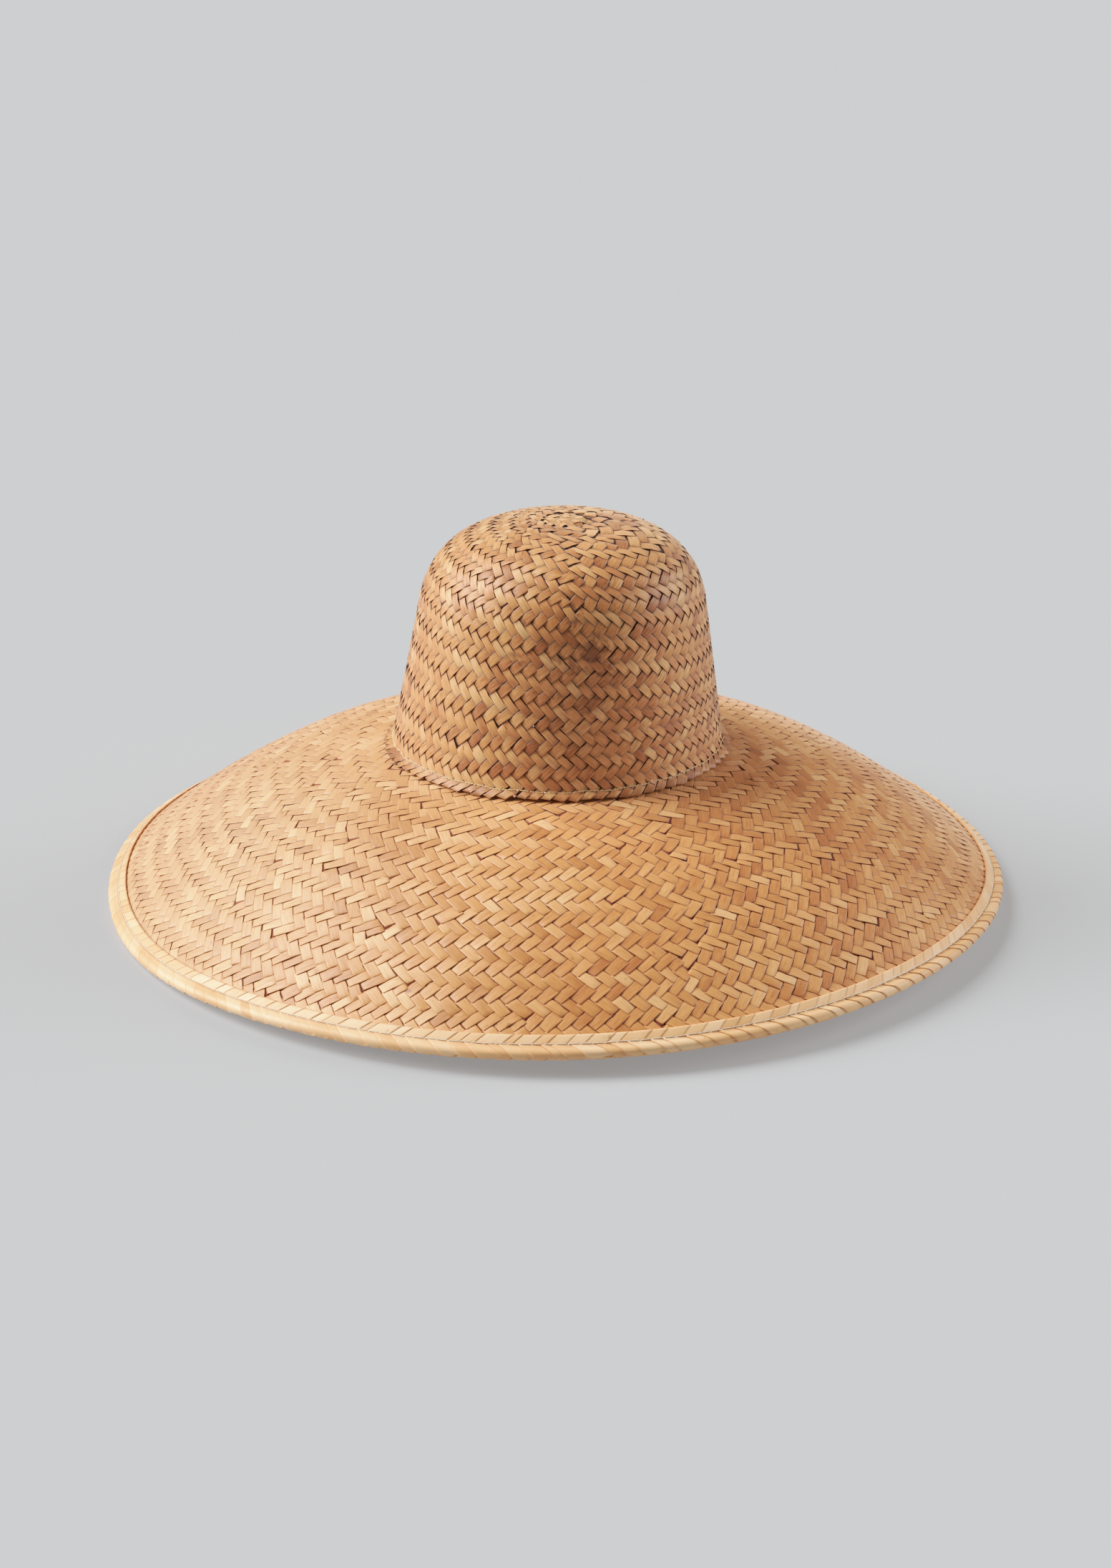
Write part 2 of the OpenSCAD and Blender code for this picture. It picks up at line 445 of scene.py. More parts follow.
        up = h * lay["depth"] + 0.02 * rng.normal(size=len(at))
        tilt = lower * lean * lay["lift_sides"] + rng.normal(0, 0.012, len(at))
        # a strip is a little wider where it starts; its lower side laps over the next strip, and its
        # upper side falls short
        taper = 1 + 0.08 * smooth(1 - at)
        wide = 0.02 + abs(rng.normal(0, 0.05)) + 0.22 * (rng.random() < 0.1)
        slit = -np.clip(rng.normal(lay["slack"], 0.03) + rng.normal(0, 0.035, len(at)), 0, 0.17)
        over_plus, over_minus = (slit, wide) if family == 0 else (wide, slit)
        middle = along(mid, at, beyond=True) + rng.normal(size=(len(at), 2)) * np.array([0.06, 0.0003])
        to_minus = along(minus, at) * (taper * (0.5 + over_minus))[:, None]
        to_plus = along(plus, at) * (taper * (0.5 + over_plus))[:, None]
        if end > 0 and family == 1:
            # its end is cut on the slant
            step = mid[-1] - mid[-2]
            heading = step * (0.3 + 0.6 * rng.random())
            to_minus[-1] -= to_minus[-1, 0] / step[0] * heading
            to_plus[-1] -= to_plus[-1, 0] / step[0] * heading
        tail = np.clip((middle[:, 0] - mark_from) / 3, 0, 1)
        up = up + tail * lay["tail_lift"] * rng.random()
        # each stretch that shows has a shade of its own; it changes where the strip is hidden
        stretch = np.floor((self.level[ids[0]] + at + hidden_at) / 4).astype(int)
        own = rng.normal(0, 0.17, stretch[-1] - stretch[0] + 1)[stretch - stretch[0]]
        rnd = np.clip(shade + own, 0, 1), rng.random()
        group.add(
            self.surface.place, middle, to_minus, to_plus, up, tilt, STRIP_T, STRIP_ARCH, rnd, dip, tail
        )


def strip_knots(rng, state, swell, end_dip):
    """A strip's course up to its last crossing. state is 1 where it goes over and -1 where under.

    Rows of: place along the strip, height, how much painted shade it gets (most where it is under others),
    how much its lower side lifts.
    """
    high = 0.95 - swell / 2
    if state[0] > 0:
        knots = [(-0.9, -1.1, 1, 0), (-0.62, -0.8, 0.9, 0.02)]
        knots += [(-0.54, 0, 0.6, 0.05), (-0.47, 0.8, end_dip, 0.06)]
    else:
        knots = [(-0.8, -1.3, 1, 0), (-0.4, -1.1, 1, 0)]
    for j, keep in enumerate(state[1:] == state[:-1]):
        top = state[j] > 0
        gape = 0.7 + 0.6 * rng.random() + 0.8 * (rng.random() < 0.1)
        if keep and top:
            knots += [(j, 1, 0, 0.06 * gape), (j + 0.5, 1 + swell, 0, 0.1 * gape)]
        elif keep:
            knots += [(j, -1, 1, 0.06), (j + 0.5, -1, 1, 0.06)]
        elif top:
            knots += [(j, 1, 0, 0.12 * gape), (j + 0.44, high, end_dip, 0.17 * gape)]
            knots += [(j + 0.5, 0.45, 0.5, 0.12), (j + 0.54, -0.5, 1, 0.06), (j + 0.64, -0.95, 1, 0.04)]
        else:
            knots += [(j, -1, 1, 0.04), (j + 0.3, -0.95, 1, 0.04), (j + 0.4, -0.4, 0.9, 0.04)]
            knots += [(j + 0.46, 0.3, 0.6, 0.05), (j + 0.53, high, end_dip, 0.06)]
    return knots


def along(values, at, beyond=False):
    """Values between a strip's crossings. With beyond they go on straight past its two ends."""
    last = len(values) - 1
    cut = np.clip(at, 0, last)
    got = np.stack([np.interp(cut, np.arange(last + 1), v) for v in values.T], -1)
    if beyond:
        got += np.minimum(at, 0)[:, None] * (values[1] - values[0])
        got += np.maximum(at - last, 0)[:, None] * (values[-1] - values[-2])
    return got


def eased(values, times):
    """Values along a strip, evened out between neighbours."""
    for _ in range(times):
        ends = np.vstack([values[:1], values, values[-1:]])
        values = (ends[:-2] + 2 * values + ends[2:]) / 4
    return values


def strip_shades(rng, th):
    """Each strip's shade from 0, dark, to 1, pale. Neighbours are cut from one leaf, and a few stand out."""
    c = rng.random(3) * TAU
    shade = 0.5 + 0.09 * np.sin(9 * th + c[0]) + 0.08 * np.sin(23 * th + c[1]) + 0.07 * np.sin(53 * th + c[2])
    shade = shade + rng.normal(0, 0.11, len(th))
    odd = rng.random(len(th)) < 0.07
    return np.clip(shade + odd * rng.choice([-0.24, 0.24], len(th)), 0, 1)


def crown_end(family, rng):
    """Where the crown's strips are trimmed below its seam, in levels past the last crossing."""
    return -0.35 if family == 0 else 0.7 + 0.5 * rng.random()


def brim_end(family, rng):
    """The brim's strips end at their last crossing, inside the binding."""
    return 0.0


foot_s = np.linalg.norm(np.diff(dome, axis=0), axis=1).sum() + np.linalg.norm(crown_foot[0] - dome[-1])
seam_s = foot_s + BEND_R * math.radians(-FRINGE_SLOPE - WALL_DIR) / 2
LEVELS_ABOVE_SEAM, LEVELS_BELOW_SEAM = 49.5, 2
CROWN_SKEW = 13.0
crown_first = seam_s - LEVELS_ABOVE_SEAM * CROWN_LEVEL
crown_stop = crown_first + (LEVELS_ABOVE_SEAM + LEVELS_BELOW_SEAM) * CROWN_LEVEL
crown_weave = Weave(crown, crown_first, crown_stop, CROWN_LEVEL, CROWN_AROUND, 11, CROWN_SKEW)
crown_groups = [[Strips()], [Strips()]]
crown_weave.strips(crown_groups, crown_end, CROWN_LAY, mark_from=seam_s + 1.5)
pieces = {}
pieces["crown_strips_down_right"] = crown_groups[0][0].build("crown_strips_down_right")
pieces["crown_strips_down_left"] = crown_groups[1][0].build("crown_strips_down_left")

BRIM_GROUPS = 3  # how many pieces the brim's strips of each family are dealt out to
LEVELS_UNDER_CROWN = 3.5
tips_s = COLLAR_H + COLLAR_R * math.radians(-INNER_SLOPE - WALL_DIR) + fringe_tip[-1][0] - brim_start[0]
brim_first = tips_s - LEVELS_UNDER_CROWN * BRIM_LEVEL
brim_weave = Weave(brim, brim_first, brim.length - 1, BRIM_LEVEL, BRIM_AROUND, 23)
brim_groups = [[Strips() for _ in range(BRIM_GROUPS)] for _ in range(2)]
brim_weave.strips(brim_groups, brim_end, BRIM_LAY)
for family, side in enumerate(("down_right", "down_left")):
    for i, group in enumerate(brim_groups[family]):
        name = f"brim_strips_{side}_{i + 1}"
        pieces[name] = group.build(name)

# ---------------------------------------------------------------- the square that the crown is started from
DOME_POINTS = 140  # the first points of the crown's line, all on the dome
SQUARE_STRIPS = 6  # in each direction
SQUARE_PITCH = 5.1
SQUARE_HALF = 17  # half a strip's length
SQUARE_TURN = math.radians(31)


def place_top(x, y, up):
    """Points at height up over the place (x, y) on the dome's top."""
    r = np.hypot(x, y)
    th = np.arctan2(x, -y)
    z = np.interp(r, crown.r[:DOME_POINTS], crown.z[:DOME_POINTS]) + up
    return form(r, th, z)


def start_square():
    """Strips in plain weave over the crown's top. Their ends are tucked in under the twill round it."""
    rng = np.random.default_rng(5)
    square = Strips()
    cos, sin = math.cos(SQUARE_TURN), math.sin(SQUARE_TURN)
    rot = np.array([[cos, sin], [-sin, cos]])
    for family in (0, 1):
        for i in range(SQUARE_STRIPS):
            half = SQUARE_HALF + rng.normal(0, 0.5)
            t = np.linspace(-half, half, 35)
            off = (i - (SQUARE_STRIPS - 1) / 2) * SQUARE_PITCH + rng.normal(0, 0.25)
            over = np.cos(math.pi * (t / SQUARE_PITCH + 0.5 + i + family))
            tuck = smooth((np.hypot(t, off) - 9.3) / 3.2)
            up = 0.42 + 0.3 * np.clip(1.7 * over, -1, 1) * (1 - 0.4 * tuck) - 1.3 * tuck
            line = np.stack([t, np.full_like(t, off) + 0.3 * np.sin(t / 5 + i)], -1)
            across = np.array([0.0, 2.45])
            if family:
                line = line[:, ::-1] * np.array([-1, 1])
                across = np.array([-2.45, 0.0])
            line, across = line @ rot, np.tile(across @ rot, (len(t), 1))
            # painted shade where the strip goes under the other family
            dip = 0.6 * np.clip(-over, 0, 1)
            rnd = 0.55 + 0.4 * rng.random(), rng.random()
            square.add(place_top, line, -across, across, up, 0.0, 0.36, 0.06, rnd, dip)
    return square.build("crown_start_square")


pieces["crown_start_square"] = start_square()


# ---------------------------------------------------------------- tubes
def ring_quads(count, n):
    """Quads between count rings of n points each. The last ring is joined to the first."""
    i = np.arange(count)[:, None]
    j = np.arange(n)[None]
    i2, j2 = (i + 1) % count, (j + 1) % n
    return np.stack([i * n + j, i * n + j2, i2 * n + j2, i2 * n + j], -1).reshape(-1, 4)


def tube(name, paths, radius, sides=6):
    """Closed round tubes along paths of (n, 3) points in metres."""
    verts, quads, strip, tone = [], [], [], []
    base = 0
    for number, p in enumerate(paths):
        n = len(p)
        t = np.roll(p, -1, 0) - np.roll(p, 1, 0)
        t /= np.linalg.norm(t, axis=1)[:, None]
        out = p * np.array([1, 1, 0])
        out /= np.linalg.norm(out, axis=1)[:, None]
        u = np.cross(t, out)
        u /= np.linalg.norm(u, axis=1)[:, None]
        v = np.cross(t, u)
        a = np.arange(sides) * TAU / sides
        cos, sin = np.cos(a)[None, :, None], np.sin(a)[None, :, None]
        verts.append(p[:, None] + radius * (cos * u[:, None] + sin * v[:, None]))
        quads.append(base + ring_quads(n, sides))
        run = np.r_[0, np.cumsum(np.linalg.norm(np.diff(p, axis=0), axis=1))]
        full = np.ones((n, sides))
        strip.append(np.stack([full * (0.3 + 0.2 * number), full * run[:, None], full * np.cos(a)[None]], -1))
        tone.append(np.zeros((n, sides, 3)))
        base += n * sides
    vectors = {"strip": np.concatenate(strip).reshape(-1, 3), "tone": np.concatenate(tone).reshape(-1, 3)}
    return mesh_object(name, np.concatenate(verts).reshape(-1, 3), np.concatenate(quads), vectors=vectors)


def stitched(surface, s, up, dip, pitch, count, wander, seed, duty, ply=0.0, twist=4.0):
    """A thread on a surface that dips into it between stitches.

    pitch is the length of a stitch, duty the share of it that lies on top, and wander how far the
    row strays to its sides. With ply there are two threads, twisted at that distance from their
    common middle, once for each length of twist.
    """
    rng = np.random.default_rng(seed)
    th = np.arange(count) * TAU / count
    r = float(surface.radius(s))
    stitches = round(TAU * r / pitch)
    wave = (th * stitches / TAU) % 1
    down = smooth(np.abs(wave - 0.5) * 2 / (1 - duty) - duty / (1 - duty))
    c = rng.random(4) * TAU
    sway = np.sin(stitches / 3 * th + c[0]) + 0.8 * np.sin(17 * th + c[1]) + 0.5 * np.sin(31 * th + c[2])
    sway = wander * sway / 2
    lines = []
    turns = round(TAU * r / twist)
    for start in ((0.0, math.pi) if ply else (0.0,)):
        a = th * turns + start
        lines.append(surface.place(s + sway + ply * np.cos(a), th, up - dip * down + ply * np.sin(a)))
    return lines


cord = stitched(
    crown, seam_s + 0.3, up=0.62, dip=0.6, pitch=7.7, count=3000, wander=0.7, seed=3, duty=0.82,
    ply=0.2, twist=3.4,
)
pieces["crown_seam_cord_twisted"] = tube("crown_seam_cord_twisted", cord, 0.24 * MM)

# ---------------------------------------------------------------- the plait round the edge
edge_dir, edge_up = ahead(-EDGE_SLOPE), left_of(-EDGE_SLOPE)
leaf_half = (BRIM_T + 2 * GAP + 2 * PLAIT_T) / 2
open_angle = 180 - math.degrees(math.asin(leaf_half / ROLL_R))


def binding_point(inwards, up):
    """A point of the binding's section, given inwards from the roll's centre and upwards."""
    return roll_c - inwards * edge_dir + up * edge_up


def roll_arc(r, n):
    """n points on the roll at one radius, from the binding's upper leaf round to its lower one."""
    angles = np.radians(np.linspace(open_angle, -open_angle, n))
    return [binding_point(-r * math.cos(a), r * math.sin(a)) for a in angles]


binding = Surface(
    binding_point(LEAF_W, leaf_half), np.array(roll_arc(ROLL_R, 40)), binding_point(LEAF_W, -leaf_half)
)
stitch_s = LEAF_W - STITCH_IN
half_way = binding.length / 2
PLAIT_LEAVES = 166  # in each column
PLAIT_R = BRIM_R - 7  # radius at the middle of the plait
LEAF_OVERLAP = 1.1  # how much wider a leaf is than its share of the column


def plait(columns, rng):
    """Columns of short slanting leaves. Each is its number, where it starts and ends, and its slant."""
    leaves = Strips()
    for column, s0, s1, slant in columns:
        outermost = column in (0, 3)
        edges = np.arange(PLAIT_LEAVES + 1) + 0.16 * rng.normal(size=PLAIT_LEAVES + 1)
        edges = edges * TAU / PLAIT_LEAVES + 0.4 * column
        edges[-1] = edges[0] + TAU
        for i in range(PLAIT_LEAVES):
            s = np.linspace(s0, s1, 7)
            f = (s - s0) / (s1 - s0)
            lean = slant * (s1 - s0) * 0.95 / PLAIT_R * (f - 0.5)
            middle = (edges[i] + edges[i + 1]) / 2 + lean
            half = (edges[i + 1] - edges[i]) / 2 * LEAF_OVERLAP
            belly = 4 * f * (1 - f)
            up = -0.3 + 0.32 * belly**0.6 + 0.04 * rng.normal()
            if outermost:
                # the plait's border is raised a little
                border = f if column == 3 else 1 - f
                up = np.where(border > 0.7, up + 0.12, up)
            tilt = (-0.1 if outermost else -0.24) * slant
            mid = np.stack([s, middle], -1)
            plus = np.stack([np.zeros(7), np.full(7, half)], -1)
            # painted shade towards both ends of each leaf, where the columns meet
            dip = 0.25 * (1 - belly) ** 3
            leaves.add(binding.place, mid, -plus, plus, up, tilt, 0.34, 0.08, rng.random(2), dip)
    return leaves


plait_rng = np.random.default_rng(8)
outer_columns = [(0, 0.0, stitch_s + 0.3, -1), (1, stitch_s - 0.3, half_way + 1.2, 1)]
under_columns = [
    (2, half_way - 1.2, binding.length - stitch_s + 0.3, -1),
    (3, binding.length - stitch_s - 0.3, binding.length, 1),
]
pieces["edge_plait_outer"] = plait(outer_columns, plait_rng).build("edge_plait_outer")
pieces["edge_plait_under"] = plait(under_columns, plait_rng).build("edge_plait_under")


def revolve(name, section, count=512):
    """A closed section in the (radius, height) plane, turned about the axis."""
    pts = np.asarray(section)
    th = np.arange(count) * TAU / count
    n = len(pts)
    v = form(np.tile(pts[:, 0], (count, 1)), np.tile(th[:, None], (1, n)), np.tile(pts[:, 1], (count, 1)))
    zero = np.zeros((count * n, 3))
    return mesh_object(name, v.reshape(-1, 3), ring_quads(count, n), vectors={"strip": zero, "tone": zero})


LINING_INSET = 0.55  # how far the lining is inside the leaves
lining_w = LEAF_W - 0.5
slot_half = BRIM_T / 2 + GAP
slot_stop = 2.2
lining = [binding_point(lining_w, leaf_half - LINING_INSET)] + roll_arc(ROLL_R - LINING_INSET, 24) + [
    binding_point(lining_w, -leaf_half + LINING_INSET),
    binding_point(lining_w, -slot_half),
    binding_point(slot_stop, -slot_half),
    binding_point(slot_stop, slot_half),
    binding_point(lining_w, slot_half),
]
pieces["edge_plait_lining"] = revolve("edge_plait_lining", lining)

top_thread = stitched(
    binding, stitch_s, up=0.16, dip=0.6, pitch=6.2, count=4200, wander=0.15, seed=4, duty=0.7
)
pieces["edge_thread_top"] = tube("edge_thread_top", top_thread, 0.27 * MM)
under_thread = stitched(
    binding, binding.length - stitch_s, up=0.3, dip=0.55, pitch=6.2, count=4200, wander=0.2, seed=6, duty=0.62
)
pieces["edge_thread_under"] = tube("edge_thread_under", under_thread, 0.36 * MM)
wire_path = form(np.full(512, roll_c[0]), np.arange(512) * TAU / 512, np.full(512, roll_c[1]))
pieces["edge_wire_ring"] = tube("edge_wire_ring", [wire_path], WIRE_R * MM, 8)

# ---------------------------------------------------------------- the ribbon inside
BAND_R = COLLAR_R + BRIM_T / 2 + GAP + BAND_T / 2
band_foot = brim_corner - BAND_R * left_of(WALL_DIR)
band = Surface(band_foot - BAND_H * ahead(WALL_DIR), band_foot)
BAND_LAP = 0.17  # radians by which the ribbon's second end laps over its first
BAND_MEAN_R = 88.0
BAND_SKIN = 0.4  # from the ribbon's middle to each of its faces
BAND_STEPS, BAND_ROWS = 900, 13


def ribbon_mesh():
    """The ribbon with slight ripples towards its free upper edge, and its length in metres."""
    size = BAND_STEPS * BAND_ROWS
    start = math.pi  # at the back of the hat
    around = np.linspace(start, start + TAU + BAND_LAP, BAND_STEPS)
    th, s = np.meshgrid(around, np.linspace(0.2, BAND_H - 0.2, BAND_ROWS), indexing="ij")
    on_top = smooth((th - start - TAU + 0.03) / 0.05)
    free = smooth((BAND_H - s) / 16)
    ripple = 0.28 * np.sin(13 * th + 0.6) + 0.22 * np.sin(29 * th + s * 0.06) + 0.12 * np.sin(57 * th)
    middle = -1.0 * on_top + free * ripple * 0.8
    skins = [band.place(s, th, middle + side) for side in (-BAND_SKIN, BAND_SKIN)]
    verts = np.concatenate([skin.reshape(-1, 3) for skin in skins])
    grid = np.arange(size).reshape(BAND_STEPS, BAND_ROWS)
    a = grid[:-1, :-1].ravel()
    inner = np.stack([a, a + 1, a + BAND_ROWS + 1, a + BAND_ROWS], -1)
    outer = inner[:, ::-1] + size
    borders = grid[::-1, 0], grid[0], grid[:, -1], grid[-1, ::-1]
    rims = [np.stack([b[:-1], b[:-1] + size, b[1:] + size, b[1:]], -1) for b in borders]
    lengths = (th - start) * BAND_MEAN_R * MM
    strip = np.stack([np.full_like(th, 0.5), lengths, s / BAND_H * 2 - 1], -1).reshape(-1, 3)
    vectors = {"strip": np.tile(strip, (2, 1)), "tone": np.zeros((2 * size, 3))}
    quads = np.concatenate([inner, outer, *rims])
    return mesh_object("sweatband_ribbon", verts, quads, vectors=vectors), float(lengths.max())


pieces["sweatband_ribbon"], ribbon_length = ribbon_mesh()
band_thread = stitched(
    band, BAND_H - BAND_STITCH_Z, up=-0.75, dip=-0.5, pitch=4.0, count=2600, wander=0.15, seed=9, duty=0.6
)
pieces["sweatband_thread"] = tube("sweatband_thread", band_thread, 0.3 * MM)
seam_thread = stitched(
    brim, COLLAR_H + COLLAR_R * 0.6, up=-0.95, dip=-0.5, pitch=7.7, count=1800, wander=0.2, seed=12, duty=0.6
)
pieces["crown_seam_thread_inside"] = tube("crown_seam_thread_inside", seam_thread, 0.33 * MM)


# ---------------------------------------------------------------- materials
class Graph:
    """Short ways to make a material's nodes."""

    def __init__(self, name):
        self.mat = bpy.data.materials.new(name)
        self.mat.use_nodes = True
        self.tree = self.mat.node_tree
        self.bsdf = self.tree.nodes["Principled BSDF"]

    def node(self, kind, **settings):
        n = self.tree.nodes.new(kind)
        for key, value in settings.items():
            setattr(n, key, value)
        return n

    def feed(self, socket, value):
        if isinstance(value, bpy.types.NodeSocket):
            self.tree.links.new(value, socket)
        else:
            socket.default_value = value

    def constants(self, values):
        """Sets sockets of the shader itself."""
        for key, value in values.items():
            self.bsdf.inputs[key].default_value = value

    def math(self, kind, *values, clamp=False):
        n = self.node("ShaderNodeMath", operation=kind, use_clamp=clamp)
        for i, v in enumerate(values):
            self.feed(n.inputs[i], v)
        return n.outputs[0]

    def attribute(self, name):
        n = self.node("ShaderNodeAttribute", attribute_name=name)
        parts = self.node("ShaderNodeSeparateXYZ")
        self.feed(parts.inputs[0], n.outputs["Vector"])
        return parts.outputs

    def here(self):
        """The shaded point, in metres."""
        return self.node("ShaderNodeTexCoord").outputs["Object"]

    def distance(self, place, centre):
        n = self.node("ShaderNodeVectorMath", operation="DISTANCE")
        self.feed(n.inputs[0], place)
        n.inputs[1].default_value = centre
        return n.outputs["Value"]

    def vector(self, x, y, z):
        n = self.node("ShaderNodeCombineXYZ")
        for i, v in enumerate((x, y, z)):
            self.feed(n.inputs[i], v)
        return n.outputs[0]

    def noise(self, vector, scale, detail=2.0, rough=0.5):
        n = self.node("ShaderNodeTexNoise")
        self.feed(n.inputs["Vector"], vector)
        n.inputs["Scale"].default_value = scale
        n.inputs["Detail"].default_value = detail
        n.inputs["Roughness"].default_value = rough
        return n.outputs["Fac"]

    def ramp(self, fac, stops):
        n = self.node("ShaderNodeValToRGB")
        elements = n.color_ramp.elements
        while len(elements) < len(stops):
            elements.new(0.5)
        for element, (position, color) in zip(elements, stops):
            element.position = position
            element.color = (*color, 1)
        self.feed(n.inputs[0], fac)
        return n.outputs[0]

    def mix(self, fac, a, b, kind="MIX"):
        n = self.node("ShaderNodeMix", data_type="RGBA", blend_type=kind)
        self.feed(n.inputs[0], fac)
        self.feed(n.inputs[6], (*a, 1) if isinstance(a, tuple) else a)
        self.feed(n.inputs[7], (*b, 1) if isinstance(b, tuple) else b)
        return n.outputs[2]

    def remap(self, value, a, b, c, d):
        n = self.node("ShaderNodeMapRange")
        for i, v in enumerate((value, a, b, c, d)):
            self.feed(n.inputs[i], v)
        return n.outputs[0]

    def blend(self, a, b, share):
        """The mean of two values, with that share of b."""
        return self.math("ADD", self.math("MULTIPLY", a, 1 - share), self.math("MULTIPLY", b, share))

    def bump(self, height, strength, distance):
        n = self.node("ShaderNodeBump")
        n.inputs["Strength"].default_value = strength
        n.inputs["Distance"].default_value = distance
        self.feed(n.inputs["Height"], height)
        self.feed(self.bsdf.inputs["Normal"], n.outputs[0])


def srgb(r, g, b):
    def one(c):
        c /= 255
        return c / 12.92 if c <= 0.04045 else ((c + 0.055) / 1.055) ** 2.4
    return one(r), one(g), one(b)


# painted light: the brim's left, where the key lights fall, is made paler
LIT_PATCH_PLACE = (-0.22, -0.05, 0.03)  # the left of the brim, in metres
STAIN_PLACE = (0.012, -0.084, 0.165)  # the front of the crown


def leaf_material(name, tones, seed, grain, gap_shade, rim, blush=0.0, hidden_side=0, pale=0.0, stained=0.0,
                  sheen=0.35):
    """Dried leaf: its own shade for each strip, fibres along it, and painted shade where it goes under others
    and along its cut edges.
    """
    g = Graph(name)
    shade, run, side = g.attribute("strip")
    rnd, dip, mark = g.attribute("tone")
    own = g.math("MULTIPLY_ADD", rnd, 91.7, seed)
    place = g.here()

    def streaks(per_metre, across, seed, detail, rough):
        v = g.vector(g.math("MULTIPLY", run, per_metre), g.math("MULTIPLY_ADD", side, across, own), seed)
        return g.noise(v, 1.0, detail, rough)

    # the strip's colour drifts slowly along it
    slow = streaks(38.0, 0.5, 1.0, 2.0, 0.5)
    pick = g.math("ADD", shade, g.remap(slow, 0.3, 0.7, -0.17, 0.17), clamp=True)
    color = g.ramp(pick, tones)
    patch = g.remap(g.noise(place, 9.0, 1.0), 0.35, 0.65, 0.0, blush)
    color = g.mix(patch, color, srgb(232, 190, 140), "MULTIPLY")
    # painted light: strips near the brim's left are mixed towards cream
    if pale:
        near = g.remap(g.distance(place, LIT_PATCH_PLACE), 0.06, 0.21, pale, 0.0)
        color = g.mix(near, color, srgb(250, 226, 188))
    # fibres
    broad = streaks(60.0, 2.6, 3.0, 3.0, 0.6)
    fine = streaks(190.0, 13.0, 7.0, 4.0, 0.65)
    color = g.mix(g.remap(broad, 0.5, 0.8, 0.0, 0.8 * grain), color, srgb(170, 116, 70), "MULTIPLY")
    color = g.mix(g.remap(fine, 0.5, 0.72, 0.0, grain), color, srgb(172, 122, 78), "MULTIPLY")
    color = g.mix(g.remap(fine, 0.48, 0.28, 0.0, 0.4 * grain), color, srgb(250, 226, 186))
    # a few grey-brown stains
    spots = g.noise(place, 130.0, 2.0, 0.6)
    if stained:
        spots = g.math("ADD", spots, g.remap(g.distance(place, STAIN_PLACE), 0.01, 0.045, stained, 0.0))
    color = g.mix(g.remap(spots, 0.68, 0.78, 0.0, 0.55), color, srgb(140, 112, 92), "MULTIPLY")
    # painted shade in the gaps, where a strip goes under others and along its cut edges, and weathered
    # trimmed ends
    across = g.math("MULTIPLY", side, hidden_side) if hidden_side else g.math("ABSOLUTE", side)
    edge = g.remap(across, 0.76, 1.0, 0.0, rim)
    cut = g.remap(g.math("ABSOLUTE", side), 0.93, 0.985, 0.0, min(1.0, rim * 1.2))
    shadow = g.math("MAXIMUM", g.math("MULTIPLY", dip, 0.95), g.math("MAXIMUM", edge, cut))
    color = g.mix(shadow, color, gap_shade, "MULTIPLY")
    color = g.mix(g.math("MULTIPLY", mark, 0.3), color, srgb(150, 112, 80), "MULTIPLY")
    g.feed(g.bsdf.inputs["Base Color"], color)
    g.feed(g.bsdf.inputs["Roughness"], g.math("MULTIPLY_ADD", dip, 0.3, g.remap(broad, 0.3, 0.8, 0.38, 0.55)))
    g.constants({
        "Specular IOR Level": 0.45,
        "Sheen Weight": sheen,
        "Sheen Roughness": 0.4,
        "Sheen Tint": (1.0, 0.9, 0.76, 1),
    })
    g.bump(g.blend(broad, fine, 0.4), 0.5, 0.0002)
    return g.mat


def leaf_tones(*colors):
    """A strip's colours from its darkest shade to its palest."""
    places = (0.0, 0.5, 1.0) if len(colors) == 3 else (0.0, 0.35, 0.65, 1.0)
    return [(place, srgb(*color)) for place, color in zip(places, colors)]


# painted shade for the gaps between strips and for the parts of strips that lie under others
BRIM_GAP_SHADE = srgb(146, 80, 24)
CROWN_GAP_SHADE = srgb(76, 24, 2)
# both brim families are the same leaf; the second family's tones are a little darker as painted shade,
# standing in for the sheen along the fibres that lights the families differently
brim_a = leaf_material(
    "leaf_brim_lit_tint", leaf_tones((199, 128, 70), (222, 153, 92), (232, 165, 107), (247, 191, 135)),
    29.0, 0.45, BRIM_GAP_SHADE, 0.5, blush=0.3, hidden_side=1, pale=0.25,
)
brim_b = leaf_material(
    "leaf_brim_shaded_tint", leaf_tones((191, 119, 63), (217, 145, 85), (229, 160, 99), (245, 187, 130)),
    41.0, 0.6, BRIM_GAP_SHADE, 0.5, blush=0.35, hidden_side=-1, pale=0.25,
)
# the grainy family's tones are a little darker than the smooth one's: painted shade, standing in for the
# sheen along the fibres that lights the families differently
crown_a = leaf_material(
    "leaf_crown_smooth", leaf_tones((182, 108, 54), (216, 143, 85), (229, 162, 101), (246, 190, 132)),
    3.0, 0.75, CROWN_GAP_SHADE, 0.8, blush=0.25, hidden_side=1, stained=0.16, sheen=0.5,
)
crown_b = leaf_material(
    "leaf_crown_grainy", leaf_tones((172, 99, 46), (208, 135, 76), (222, 153, 92), (240, 181, 121)),
    17.0, 1.0, CROWN_GAP_SHADE, 0.8, blush=0.25, hidden_side=-1, stained=0.16, sheen=0.5,
)
# the plait's leaves get a faint painted shade along their sides and where they go under each other
plait_leaf = leaf_material(
    "leaf_plait", leaf_tones((238, 176, 120), (248, 191, 137), (255, 208, 159)),
    53.0, 0.15, srgb(193, 121, 70), 0.25,
)


